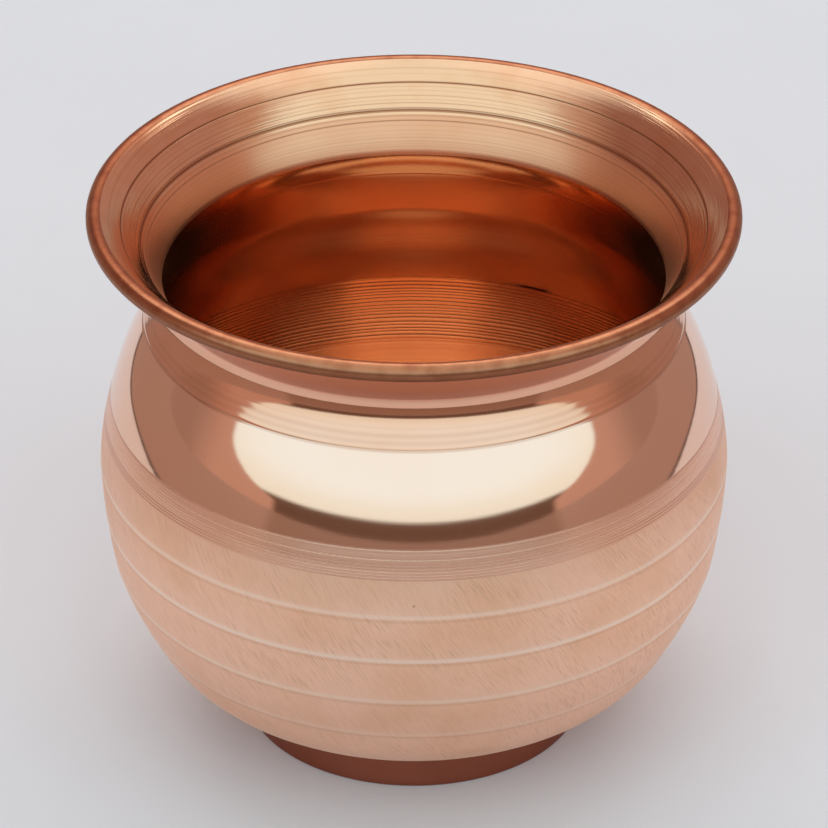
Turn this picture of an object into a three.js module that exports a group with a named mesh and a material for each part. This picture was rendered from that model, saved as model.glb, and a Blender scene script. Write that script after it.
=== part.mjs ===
// A copper lota: a round-bellied water vessel with a flared, wired mouth and a
// low foot. Two spun half shells are lapped and brazed at the belly, the lip is
// rolled round a wire, and a foot ring is brazed under the bowl.
// Millimetres, +Z up, origin on the table at the middle of the foot.

import * as THREE from "three";

// Sheet, wire and joints
const SHEET = 0.8; // wall of both spun shells
const WIRE_DIAMETER = 1.2;
const CLEARANCE = 0.04; // between faces that meet
const BRAZE_FILM = 0.12;
const BRAZE_FILLET = 0.7;
const FILLET_SPREAD = 1.6; // how much wider than high the foot's fillet is
const FILLET_REACH = 0.9; // share of the skirt's edge that the fillet covers

// Mouth, neck and belly, all on the outside surface
const MOUTH_RADIUS = 50;
const LIP_HEIGHT = 87.8; // middle of the wire inside the lip
const LIP_SLOPE = 30; // degrees above level where the flare meets the lip
const NECK_RADIUS = 39.4;
const NECK_HEIGHT = 77;
const BELLY_RADIUS = 48.75;
const BELLY_HEIGHT = 45;

// The lapped joint at the belly
const SEAM_HEIGHT = 56.3; // top edge of the lower bowl
const LAP = 6.2; // how far the upper shell's skirt reaches down inside the bowl
const JOGGLE = 1.6; // height over which the wall steps in to the skirt

// Burnished bands on the lower bowl
const BAND_TOP_HEIGHT = 45.1;
const BAND_PITCH = 8.1;
const BAND_COUNT = 4;

// Base and foot
const BASE_HEIGHT = 3; // middle of the base, above the table
const FOOT_SEAT_HEIGHT = 5.6; // where the foot's outside meets the bowl
const FOOT_TOP_RADIUS = 26.3;
const FOOT_BOTTOM_RADIUS = 26.7;
const FOOT_WALL = 1.3;
const FOOT_EDGE_ROUND = 0.35;

// How finely curves are cut into flats
const TURN_STEPS = 64;
const BASE_STEPS = 4;
const BULGE_STEPS = 3;
const LAP_STEPS = 2;
const SHOULDER_STEPS = 6;
const FLARE_STEPS = 7;
const ROLL_STEPS = 8;
const WIRE_STEPS = 8;

// Shape of each stretch of the outline, as [share of the rise, share of the spread]
const BASE_SHAPE = [[0.15, 0.61], [0.5, 0.84]];
const BOWL_SHAPE = [
  [0.061, 0.205], [0.137, 0.4235], [0.239, 0.62], [0.366, 0.751],
  [0.569, 0.905], [0.797, 0.974],
];
const SHOULDER_SHAPE = [
  [0.281, 0.123], [0.406, 0.234], [0.531, 0.371], [0.656, 0.547],
  [0.781, 0.746], [0.875, 0.891], [0.938, 0.97],
];
const FLARE_SHAPE = [
  [0.0141, 0.0014], [0.0282, 0.0058], [0.0458, 0.0136], [0.0749, 0.028],
  [0.1233, 0.0542], [0.2026, 0.1034], [0.3171, 0.1887], [0.4668, 0.3195],
  [0.6429, 0.4963], [0.8015, 0.681], [0.916, 0.8426],
];

// The lip is the sheet rolled once round the wire
const ROLL_INSIDE = WIRE_DIAMETER / 2 + CLEARANCE;
const ROLL_OUTSIDE = ROLL_INSIDE + SHEET;
const LIP_RADIUS = MOUTH_RADIUS - ROLL_OUTSIDE;
const ROLL_START = 90 + LIP_SLOPE;
const ROLL_END = -165;

// A point of an outline, with its outward normal
function spot(radius, height, normalOut = 0, normalUp = 0) {
  return { radius, height, normalOut, normalUp };
}

function polar(centreRadius, centreHeight, distance, degrees) {
  const angle = THREE.MathUtils.degToRad(degrees);
  return spot(centreRadius + distance * Math.cos(angle), centreHeight + distance * Math.sin(angle));
}

// Stations between two places, by a stretch's shares of rise and spread
function between(from, to, shape) {
  return shape.map(([rise, spread]) =>
    spot(
      THREE.MathUtils.lerp(from.radius, to.radius, spread),
      THREE.MathUtils.lerp(from.height, to.height, rise),
    ),
  );
}

// The outside of the whole vessel, from the middle of the base to the lip
function outsideCurve() {
  const base = spot(0, BASE_HEIGHT);
  const seat = spot(FOOT_TOP_RADIUS, FOOT_SEAT_HEIGHT);
  const belly = spot(BELLY_RADIUS, BELLY_HEIGHT);
  const neck = spot(NECK_RADIUS, NECK_HEIGHT);
  const lip = polar(LIP_RADIUS, LIP_HEIGHT, ROLL_INSIDE, ROLL_START);
  const stations = [
    base,
    ...between(base, seat, BASE_SHAPE),
    seat,
    ...between(seat, belly, BOWL_SHAPE),
    belly,
    ...between(belly, neck, SHOULDER_SHAPE),
    neck,
    ...between(neck, lip, FLARE_SHAPE),
    lip,
  ];
  return new THREE.CatmullRomCurve3(stations.map((s) => new THREE.Vector3(s.radius, s.height, 0)));
}

const OUTSIDE = outsideCurve();

// The place on the outside where the radius (x) or the height (y) reaches a value
function onOutside(key, value) {
  let low = 0;
  let high = 1;
  for (let i = 0; i < 50; i += 1) {
    const middle = (low + high) / 2;
    if (OUTSIDE.getPoint(middle)[key] < value) low = middle;
    else high = middle;
  }
  const point = OUTSIDE.getPoint(low);
  const along = OUTSIDE.getTangent(low);
  if (point.x < 1e-6) return spot(0, point.y, 0, -1);
  return spot(point.x, point.y, along.y, -along.x);
}

const atHeight = (height) => onOutside("y", height);
const atRadius = (radius) => onOutside("x", radius);

// Even steps between two values, both ends included
function steps(from, to, count) {
  return Array.from({ length: count + 1 }, (_, i) => THREE.MathUtils.lerp(from, to, i / count));
}

// The same outline moved into the wall by a distance
function inset(line, distance) {
  return line.map((s) =>
    spot(
      Math.max(0, s.radius - s.normalOut * distance),
      s.height - s.normalUp * distance,
      s.normalOut,
      s.normalUp,
    ),
  );
}

// A closed turned solid from its section, which runs counter-clockwise
function turned(name, section, material) {
  const points = section.map((s) => new THREE.Vector2(s.radius, s.height));
  const closed = points[0].x > 0 || points[points.length - 1].x > 0;
  if (closed) points.push(points[0].clone());
  const geometry = new THREE.LatheGeometry(points, TURN_STEPS);
  geometry.rotateX(Math.PI / 2);
  const mesh = new THREE.Mesh(geometry, material);
  mesh.name = name;
  return mesh;
}

const polishedCopper = new THREE.MeshStandardMaterial({ color: 0xd9956f, roughness: 0.12, metalness: 1 });
const satinCopper = new THREE.MeshStandardMaterial({ color: 0xd09a7c, roughness: 0.42, metalness: 1 });
const footCopper = new THREE.MeshStandardMaterial({ color: 0xa9583a, roughness: 0.3, metalness: 1 });
const wireCopper = new THREE.MeshStandardMaterial({ color: 0xb06a48, roughness: 0.5, metalness: 1 });
const brazeMetal = new THREE.MeshStandardMaterial({ color: 0xc9a070, roughness: 0.45, metalness: 1 });

// Outside of the lower bowl: base, foot seat, turned bulge, burnished bands and
// the lap. A band's lower edge is at every second station between its two ends.
const SEAT_INNER_RADIUS = FOOT_TOP_RADIUS - FOOT_WALL;
const BAND_BOTTOM_HEIGHT = BAND_TOP_HEIGHT - BAND_COUNT * BAND_PITCH;
const BOWL_OUTSIDE = [
  ...steps(0, SEAT_INNER_RADIUS, BASE_STEPS).map(atRadius),
  atRadius(FOOT_TOP_RADIUS),
  ...steps(FOOT_SEAT_HEIGHT, BAND_BOTTOM_HEIGHT, BULGE_STEPS).slice(1, -1).map(atHeight),
  ...steps(BAND_BOTTOM_HEIGHT, BAND_TOP_HEIGHT, BAND_COUNT * 2).map(atHeight),
  ...steps(BAND_TOP_HEIGHT, SEAM_HEIGHT, LAP_STEPS).slice(1).map(atHeight),
];

function lowerBowl() {
  const inside = inset(BOWL_OUTSIDE, SHEET).reverse();
  return turned("lower_bowl", [...BOWL_OUTSIDE, ...inside], satinCopper);
}

// The bowl's wall from a given height up to the seam, moved in to a given depth
const SKIRT_BOTTOM_HEIGHT = SEAM_HEIGHT - LAP;
function lapLine(depth, bottomHeight) {
  const line = inset(BOWL_OUTSIDE, depth);
  const above = line.findIndex((s) => s.height > bottomHeight);
  const [low, high] = [line[above - 1], line[above]];
  const share = (bottomHeight - low.height) / (high.height - low.height);
  const start = spot(THREE.MathUtils.lerp(low.radius, high.radius, share), bottomHeight);
  return [start, ...line.slice(above)];
}

const SKIRT_DEPTH = SHEET + BRAZE_FILM + 2 * CLEARANCE; // outside of the skirt, under the bowl's outside

function upperShell() {
  const shoulderBase = SEAM_HEIGHT + CLEARANCE;
  const lipStart = OUTSIDE.getPoint(1).y;
  const wall = [
    ...steps(shoulderBase, NECK_HEIGHT, SHOULDER_STEPS),
    ...steps(NECK_HEIGHT, lipStart, FLARE_STEPS).slice(1, -1),
  ].map(atHeight);
  const roll = (distance, from, to) =>
    steps(from, to, ROLL_STEPS).map((a) => polar(LIP_RADIUS, LIP_HEIGHT, distance, a));
  const skirtOutside = lapLine(SKIRT_DEPTH, SKIRT_BOTTOM_HEIGHT);
  const skirtInside = lapLine(SKIRT_DEPTH + SHEET, SKIRT_BOTTOM_HEIGHT).reverse();
  const stepOutside = spot(skirtOutside[skirtOutside.length - 1].radius, shoulderBase);
  const inside = inset([atHeight(SEAM_HEIGHT + JOGGLE), ...wall.slice(1)], SHEET).reverse();
  return turned(
    "upper_shell",
    [
      ...skirtOutside,
      stepOutside,
      ...wall,
      ...roll(ROLL_INSIDE, ROLL_START, ROLL_END),
      ...roll(ROLL_OUTSIDE, ROLL_END, ROLL_START),
      ...inside,
      ...skirtInside,
    ],
    polishedCopper,
  );
}

// The wire inside the rolled lip
function rimWire() {
  const section = steps(0, 360, WIRE_STEPS)
    .slice(0, -1)
    .map((a) => polar(LIP_RADIUS, LIP_HEIGHT, WIRE_DIAMETER / 2, a));
  return turned("rim_wire", section, wireCopper);
}

// Brazing metal in the lap, with a fillet under the skirt's edge
function bellyBraze() {
  const outer = lapLine(SHEET + CLEARANCE, SKIRT_BOTTOM_HEIGHT - BRAZE_FILLET);
  const inner = lapLine(SKIRT_DEPTH - CLEARANCE, SKIRT_BOTTOM_HEIGHT - CLEARANCE).reverse();
  const [toe] = lapLine(SKIRT_DEPTH + SHEET * FILLET_REACH, SKIRT_BOTTOM_HEIGHT - CLEARANCE);
  return turned("belly_braze", [...outer, ...inner, toe], brazeMetal);
}

// The foot ring: a short, slightly spread band whose top edge is dressed to the bowl
function footRing() {
  const [seatInner, seatOuter] = inset([SEAT_INNER_RADIUS, FOOT_TOP_RADIUS].map(atRadius), -CLEARANCE);
  const floorInner = FOOT_BOTTOM_RADIUS - FOOT_WALL;
  return turned(
    "foot_ring",
    [
      spot(floorInner, 0),
      spot(FOOT_BOTTOM_RADIUS - FOOT_EDGE_ROUND, 0),
      spot(FOOT_BOTTOM_RADIUS, FOOT_EDGE_ROUND),
      seatOuter,
      seatInner,
    ],
    footCopper,
  );
}

// Brazing fillet in the corner between the foot and the base
function footBraze() {
  const corner = SEAT_INNER_RADIUS - CLEARANCE * 2;
  const [top, edge] = inset([atRadius(corner), atRadius(corner - BRAZE_FILLET * FILLET_SPREAD)], -CLEARANCE);
  return turned("foot_braze", [edge, spot(top.radius, top.height - BRAZE_FILLET), top], brazeMetal);
}

const lota = new THREE.Group();
lota.name = "copper_lota";
lota.add(lowerBowl(), upperShell(), rimWire(), bellyBraze(), footRing(), footBraze());

export default lota;
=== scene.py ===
# %% [markdown]
# # A copper lota in Blender
# A lota is a round-bellied water vessel. This one is spun from two discs of
# copper that overlap at the belly, has a lip rolled over a wire, and stands on
# a low ring foot. The CAD model gives the real sizes and says where each piece
# is. This script dresses it: finely turned meshes with the maker's ridges and
# lines in them, procedural copper finishes, a plain floor and soft light.

import math

import bpy
import numpy as np
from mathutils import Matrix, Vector


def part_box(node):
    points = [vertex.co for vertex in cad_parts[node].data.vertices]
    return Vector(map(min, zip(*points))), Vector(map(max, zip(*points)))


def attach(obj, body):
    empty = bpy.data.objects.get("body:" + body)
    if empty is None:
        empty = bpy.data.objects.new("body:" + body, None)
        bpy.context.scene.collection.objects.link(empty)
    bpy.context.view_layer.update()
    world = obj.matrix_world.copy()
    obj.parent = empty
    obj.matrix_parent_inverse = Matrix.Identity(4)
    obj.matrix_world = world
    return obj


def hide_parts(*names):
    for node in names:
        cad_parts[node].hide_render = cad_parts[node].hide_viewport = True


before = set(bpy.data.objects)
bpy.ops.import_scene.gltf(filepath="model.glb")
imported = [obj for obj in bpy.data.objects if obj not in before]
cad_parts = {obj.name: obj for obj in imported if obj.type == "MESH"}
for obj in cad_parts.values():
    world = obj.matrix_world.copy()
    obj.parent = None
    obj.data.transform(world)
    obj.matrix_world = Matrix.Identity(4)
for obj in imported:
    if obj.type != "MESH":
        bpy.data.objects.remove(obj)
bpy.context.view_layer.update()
scene = bpy.context.scene

# %% [markdown]
# ## Driving sizes
# A turned vessel is one outline swept round an axis, so a handful of sizes in
# millimetres sets nearly everything: the mouth, neck, belly and foot, and the
# thickness of the sheet. The mouth and the lip's height are read from the CAD
# box, so the dressed vessel can't grow out of it.

# %% Sizes in millimetres
MM = 0.001
SHEET = 0.8
WIRE_RADIUS = 0.6
CLEARANCE = 0.04
BRAZE_FILM = 0.12
ROLL_INSIDE = WIRE_RADIUS + CLEARANCE
ROLL_OUTSIDE = ROLL_INSIDE + SHEET
MOUTH_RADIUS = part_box("upper_shell")[1][0] / MM
LIP_RADIUS = MOUTH_RADIUS - ROLL_OUTSIDE
LIP_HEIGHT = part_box("upper_shell")[1][2] / MM - ROLL_OUTSIDE
LIP_SLOPE = 30
NECK = (39.4, 77.0)
BELLY = (48.75, 45.0)
SEAT = (26.3, 5.6)
BASE = (0.0, 3.0)
SEAM_HEIGHT = 56.3
LAP = 6.2
BAND_TOP = 45.1
BAND_PITCH = 8.1
BAND_COUNT = 4
FOOT_BOTTOM_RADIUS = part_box("foot_ring")[1][0] / MM
FOOT_WALL = 1.3
TURN_STEPS = 160
print(f"mouth {2 * MOUTH_RADIUS:.1f} mm across, lip centre at {LIP_HEIGHT:.2f} mm")

# %% [markdown]
# ## The outline
# The outline runs from the middle of the base, out to the foot, round the
# belly, in at the neck and out again to the lip. It could be drawn with many
# points, but polished metal shows every wobble of a hand-drawn line. So it is
# one natural cubic spline through a few stations: its curvature never jumps,
# and the reflections flow over it. Each shape lists its stations as shares of
# the rise and of the spread from one place to the next.

# %% A smooth line through a few stations
BASE_SHAPE = [(0.15, 0.61), (0.5, 0.84)]
BOWL_SHAPE = [(0.061, 0.205), (0.137, 0.4235), (0.239, 0.62), (0.366, 0.751), (0.569, 0.905)]
BOWL_SHAPE += [(0.797, 0.974)]
SHOULDER_SHAPE = [(0.281, 0.123), (0.406, 0.234), (0.531, 0.371), (0.656, 0.547), (0.781, 0.746)]
SHOULDER_SHAPE += [(0.875, 0.891), (0.938, 0.97)]
FLARE_SHAPE = [(0.0141, 0.0014), (0.0282, 0.0058), (0.0458, 0.0136), (0.0749, 0.028), (0.1233, 0.0542)]
FLARE_SHAPE += [(0.2026, 0.1034), (0.3171, 0.1887), (0.4668, 0.3195), (0.6429, 0.4963), (0.8015, 0.681)]
FLARE_SHAPE += [(0.916, 0.8426)]
FINE = 0.04


def polar(distance, degrees):
    angle = math.radians(degrees)
    return (LIP_RADIUS + distance * math.cos(angle), LIP_HEIGHT + distance * math.sin(angle))


def between(start, end, shape):
    """Stations between two places, by shares of the rise and of the spread"""
    return [
        (start[0] + spread * (end[0] - start[0]), start[1] + rise * (end[1] - start[1]))
        for rise, spread in shape
    ]


def spline_through(stations, spacing):
    """A natural cubic spline through the stations, as evenly spaced points"""
    p = np.array(stations, float)
    at = np.concatenate([[0], np.cumsum(np.hypot(*np.diff(p, axis=0).T))])
    step = np.diff(at)
    count = len(at)
    system = np.eye(count)
    right = np.zeros((count, 2))
    for i in range(1, count - 1):
        system[i, i - 1 : i + 2] = step[i - 1], 2 * (step[i - 1] + step[i]), step[i]
        right[i] = 6 * ((p[i + 1] - p[i]) / step[i] - (p[i] - p[i - 1]) / step[i - 1])
    bend = np.linalg.solve(system, right)
    where = np.linspace(0, at[-1], round(at[-1] / spacing) + 1)
    k = np.clip(np.searchsorted(at, where, side="right") - 1, 0, count - 2)
    after = (where - at[k])[:, None]
    before = (at[k + 1] - where)[:, None]
    h = step[k][:, None]
    cubic = (bend[k] * before**3 + bend[k + 1] * after**3) / (6 * h)
    return cubic + (p[k] / h - bend[k] * h / 6) * before + (p[k + 1] / h - bend[k + 1] * h / 6) * after


LIP_START = polar(ROLL_INSIDE, 90 + LIP_SLOPE)
OUTLINE = spline_through(
    [BASE, *between(BASE, SEAT, BASE_SHAPE), SEAT, *between(SEAT, BELLY, BOWL_SHAPE), BELLY]
    + [*between(BELLY, NECK, SHOULDER_SHAPE), NECK, *between(NECK, LIP_START, FLARE_SHAPE), LIP_START],
    FINE,
)
print(f"{len(OUTLINE)} points on the outline, widest radius {OUTLINE[:, 0].max():.2f} mm")

# %% [markdown]
# ## Cutting the outline into faces
# Evenly fine points would give millions of faces. A lathe hand spends time
# where the detail is, and so does this: each stretch keeps only as many points
# as its ridges or lines need. Relief is added along the outline's own normal.


# %% Helpers for stretches, relief and wall thickness
def outward(line):
    """Unit normals that point out of the vessel"""
    along = np.gradient(line, axis=0)
    along /= np.linalg.norm(along, axis=1)[:, None]
    return np.column_stack([along[:, 1], -along[:, 0]])


def stretch(low, high, spacing):
    """The part of the outline between two heights, base and bowl upwards"""
    inside = (OUTLINE[:, 1] >= low) & (OUTLINE[:, 1] <= high)
    line, normal = OUTLINE[inside], outward(OUTLINE)[inside]
    stride = max(1, round(spacing / FINE))
    keep = np.unique(np.append(np.arange(0, len(line), stride), len(line) - 1))
    return line[keep], normal[keep]


def moved(line, normal, distance):
    """A line moved along its normals; the axis stays the axis"""
    out = line + normal * np.reshape(distance, (-1, 1))
    out[:, 0] = np.maximum(out[:, 0], 0)
    return out


def groove(x, centre, width, depth):
    """A rounded cut, or a rib where the depth is negative"""
    return -depth * np.exp(-(((x - centre) / width) ** 2))


def cuts(x, lines):
    """Relief and grime of engraved lines, each (place, width, depth, grime); a negative grime is a painted
    highlight
    """
    relief = sum(groove(x, place, width, depth) for place, width, depth, _ in lines)
    grime = sum(groove(x, place, 1.1 * width, dirt_and_painted_light) for place, width, _, dirt_and_painted_light in lines)
    return relief, np.maximum(grime, -1)


def window(x, low, high, soft):
    """1 between two values, fading to 0 over a soft distance"""
    return np.clip((x - low) / soft, 0, 1) * np.clip((high - x) / soft, 0, 1)


# %% [markdown]
# ## A lathe for meshes
# Blender's Screw modifier can turn an outline, but a mesh made directly lets
# each stretch carry its own material, so that the polished outside and the raw
# inside of one sheet are one closed solid, as they are in the metal. Each point
# also carries a value of wear and painted light: below zero where grime sits in
# a groove, or where painted shade darkens a crease, a gap or the underside of a
# ridge; above zero where an edge is burnished and carries a painted highlight.
# The finishes read it as an attribute.


# %% Turn a closed section into a mesh
def turned(name, runs, materials, steps=TURN_STEPS, wobble=None):
    """runs is a list of (points, material index, wear and painted light); they close on themselves or on
    the axis
    """
    points = np.vstack([run for run, _, _ in runs]) * MM
    index = np.concatenate([[slot] * len(run) for run, slot, _ in runs])
    wear_and_painted_light = np.concatenate([np.broadcast_to(w, len(run)) for run, _, w in runs])
    angles = np.linspace(0, 2 * math.pi, steps, endpoint=False)
    rings = np.repeat(points[:, None, :], steps, axis=1)
    if wobble is not None:
        rings = rings + wobble(rings / MM, angles) * MM
    radius, height = rings[..., 0], rings[..., 1]
    verts = np.stack([radius * np.cos(angles), radius * np.sin(angles), height], axis=-1).reshape(-1, 3)
    count = len(points)
    on_axis = points[:, 0] < 1e-9
    faces, slots = [], []
    around = np.arange(steps)
    beside = (around + 1) % steps
    for i in range(count):
        j = (i + 1) % count
        if on_axis[i] and on_axis[j]:
            continue
        a, b = i * steps, j * steps
        if on_axis[i]:
            quad = np.column_stack([np.full(steps, a), b + beside, b + around])
        elif on_axis[j]:
            quad = np.column_stack([a + around, a + beside, np.full(steps, b)])
        else:
            quad = np.column_stack([a + around, a + beside, b + beside, b + around])
        faces += quad.tolist()
        slots += [int(index[i])] * steps
    used = np.unique(np.concatenate([np.array(f) for f in faces]))
    place = np.full(len(verts), -1)
    place[used] = np.arange(len(used))
    mesh = bpy.data.meshes.new(name)
    mesh.from_pydata(verts[used].tolist(), [], [place[f].tolist() for f in faces])
    for material in materials:
        mesh.materials.append(material)
    mesh.polygons.foreach_set("material_index", slots)
    mesh.polygons.foreach_set("use_smooth", [True] * len(mesh.polygons))
    wear_and_light = mesh.attributes.new("wear_and_painted_light", "FLOAT", "POINT")
    wear_and_light.data.foreach_set("value", np.repeat(wear_and_painted_light, steps)[used].astype(np.float32))
    mesh.update()
    piece = bpy.data.objects.new(name, mesh)
    scene.collection.objects.link(piece)
    print(f"{name}: {len(mesh.polygons)} faces")
    return piece


# %% [markdown]
# ## Helpers for node trees
# Every finish here is made of nodes. A few small functions keep the node code
# short. They add a node with its settings and links, do a sum, mix two colours,
# read a noise, and start a node group with named inputs and outputs, so that an
# effect can be shared.


# %% Add nodes and groups
def node(tree, kind, inputs=None, **settings):
    made = tree.nodes.new(kind)
    for key, value in settings.items():
        setattr(made, key, value)
    for key, value in (inputs or {}).items():
        if isinstance(value, bpy.types.NodeSocket):
            tree.links.new(value, made.inputs[key])
        else:
            made.inputs[key].default_value = value
    return made


def calc(tree, operation, *values, clamp=False):
    made = node(tree, "ShaderNodeMath", dict(enumerate(values)), operation=operation, use_clamp=clamp)
    return made.outputs[0]


def blend(tree, share, first, second):
    made = node(tree, "ShaderNodeMix", data_type="RGBA")
    for key, value in (("Factor", share), ("A", first), ("B", second)):
        socket = next(s for s in made.inputs if s.name == key and s.enabled)
        if isinstance(value, bpy.types.NodeSocket):
            tree.links.new(value, socket)
        else:
            socket.default_value = value
    return next(s for s in made.outputs if s.enabled)


def noise(tree, place, scale, detail):
    made = node(tree, "ShaderNodeTexNoise", {"Vector": place, "Scale": scale, "Detail": detail})
    return made.outputs["Fac"]


def ramp(tree, value, low, high, start=0.0, end=1.0):
    """A value that goes evenly from start to end"""
    limits = {"Value": value, "From Min": low, "From Max": high, "To Min": start, "To Max": end}
    return node(tree, "ShaderNodeMapRange", limits).outputs[0]


def new_group(name, inputs, outputs):
    group = bpy.data.node_groups.new(name, "ShaderNodeTree")
    for label, value in inputs.items():
        socket = group.interface.new_socket(label, in_out="INPUT", socket_type="NodeSocketFloat")
        socket.default_value = value
    for label in outputs:
        group.interface.new_socket(label, in_out="OUTPUT", socket_type="NodeSocketFloat")
    return group, node(group, "NodeGroupInput").outputs, node(group, "NodeGroupOutput").inputs


def placed(tree, group, **values):
    made = node(tree, "ShaderNodeGroup", node_tree=group)
    for label, value in values.items():
        made.inputs[label].default_value = value
    return made.outputs


# %% [markdown]
# ## Marks of the lathe
# A tool pressed on spinning sheet leaves lines that run right round the vessel.
# An image texture would show a seam. Here a noise is stretched instead: it
# changes slowly round the axis and quickly along the wall, so it has no seam
# and its lines close on themselves.


# %% Shared effect: turning marks
def round_axis(tree):
    """Direction from the axis, radius and height of a point of the vessel"""
    point = node(tree, "ShaderNodeTexCoord").outputs["Object"]
    split = node(tree, "ShaderNodeSeparateXYZ", {0: point}).outputs
    flat = node(tree, "ShaderNodeCombineXYZ", {"X": split["X"], "Y": split["Y"]}).outputs[0]
    radius = node(tree, "ShaderNodeVectorMath", {0: flat}, operation="LENGTH").outputs["Value"]
    heading = node(tree, "ShaderNodeVectorMath", {0: flat}, operation="NORMALIZE").outputs["Vector"]
    return heading, radius, split["Z"]


def drawn_out(tree, heading, scale, up):
    """A place for a noise that changes slowly round the axis and fast along the wall"""
    scaled = node(tree, "ShaderNodeVectorMath", {0: heading, "Scale": scale}, operation="SCALE")
    turn = node(tree, "ShaderNodeSeparateXYZ", {0: scaled.outputs["Vector"]}).outputs
    return node(tree, "ShaderNodeCombineXYZ", {"X": turn["X"], "Y": turn["Y"], "Z": up}).outputs[0]


RADIUS_SHARE = 0.6
LINE_INPUTS = {"Lines per metre": 3000.0, "Round": 1.5}
turning_marks, given, put_out = new_group("turning_marks", LINE_INPUTS, ["Height"])
heading, radius, height = round_axis(turning_marks)
along = calc(turning_marks, "MULTIPLY_ADD", radius, RADIUS_SHARE, height)
up = calc(turning_marks, "MULTIPLY", along, given["Lines per metre"])
line_place = drawn_out(turning_marks, heading, given["Round"], up)
turning_marks.links.new(noise(turning_marks, line_place, 1.0, 3.0), put_out["Height"])

# %% [markdown]
# ## Slanted brush scratches
# The bowl was finished with an abrasive pad held at an angle, which leaves
# short scratches leaning over to one side. The same stretched noise does it
# once the direction from the axis is twisted with height: a line of equal
# noise then climbs the wall as a helix does. The scratches come and go in
# patches, so a second, broad noise masks them.

# %% Shared effect: brush scratches
SCRATCH_INPUTS = {"Twist": 13.0, "Across": 300.0, "Along": 430.0, "Patch size": 90.0}
PATCH_LIMITS = (0.40, 0.65)
brush_scratches, given, put_out = new_group("brush_scratches", SCRATCH_INPUTS, ["Height", "Patch"])
heading, _, height = round_axis(brush_scratches)
lean = {"Vector": heading, "Angle": calc(brush_scratches, "MULTIPLY", height, given["Twist"])}
leaned = node(brush_scratches, "ShaderNodeVectorRotate", lean, rotation_type="Z_AXIS").outputs[0]
up = calc(brush_scratches, "MULTIPLY", height, given["Along"])
scratch_place = drawn_out(brush_scratches, leaned, given["Across"], up)
whole = node(brush_scratches, "ShaderNodeTexCoord").outputs["Object"]
patches = noise(brush_scratches, whole, given["Patch size"], 3.0)
brush_scratches.links.new(noise(brush_scratches, scratch_place, 1.0, 1.0), put_out["Height"])
brush_scratches.links.new(ramp(brush_scratches, patches, *PATCH_LIMITS), put_out["Patch"])

# %% [markdown]
# ## Tarnish and specks
# Bare copper browns unevenly where it is handled and picks up tiny dark pits.
# Both are masks that each finish mixes into its own colour and roughness. A
# third output is the gentle waviness that hand pressure leaves in a polished
# wall, which bends the edges of what it reflects.

# %% Shared effect: tarnish
TARNISH_INPUTS = {"Cloud size": 45.0, "Speck size": 420.0, "Speck rarity": 0.97, "Wave size": 26.0}
CLOUD_LIMITS = (0.45, 0.72)
SPECK_LIMITS = (0.13, 0.07)
tarnish, given, put_out = new_group("tarnish", TARNISH_INPUTS, ["Cloud", "Speck", "Wave"])
whole = node(tarnish, "ShaderNodeTexCoord").outputs["Object"]
clouds = noise(tarnish, whole, given["Cloud size"], 5.0)
cells = node(tarnish, "ShaderNodeTexVoronoi", {"Vector": whole, "Scale": given["Speck size"]}).outputs
near = ramp(tarnish, cells["Distance"], *SPECK_LIMITS)
pick = node(tarnish, "ShaderNodeSeparateColor", {0: cells["Color"]}).outputs[0]
rare = calc(tarnish, "GREATER_THAN", pick, given["Speck rarity"])
tarnish.links.new(ramp(tarnish, clouds, *CLOUD_LIMITS), put_out["Cloud"])
tarnish.links.new(calc(tarnish, "MULTIPLY", near, rare), put_out["Speck"])
tarnish.links.new(noise(tarnish, whole, given["Wave size"], 1.0), put_out["Wave"])

# %% [markdown]
# ## The finishes
# All are metal, so colour is what the metal reflects. Copper reflects about
# nine tenths of red, six tenths of green and four tenths of blue. The glow
# inside the vessel needs no paint: light that bounces three times between
# copper walls turns deep orange by itself. Turned surfaces scatter light
# across their grooves more than along them, so they get an anisotropic gloss
# whose direction runs round the axis.


# %% A finish from its colours, roughness and marks
def rgba(red, green, blue):
    return (red, green, blue, 1.0)


# Colour of grime in grooves, also used as painted shade in creases and under ridges
GRIME_AND_SHADE = rgba(0.22, 0.070, 0.030)
# Cream painted highlight for burnished lines and ribs
PAINTED_HIGHLIGHT = rgba(0.97, 0.74, 0.60)
STAIN_SHARE = 0.7
WEAR_SHINE = 0.16
GRIME_DULL = 0.25
SPECK_SHOWS = 0.4
PATCH_SHARE = 0.6
SCRATCH_LEVEL = 0.48
SCRATCH_CONTRAST = 4.0
SCRATCH_DULL = 0.1
QUARTER_TURN = 0.25


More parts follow.
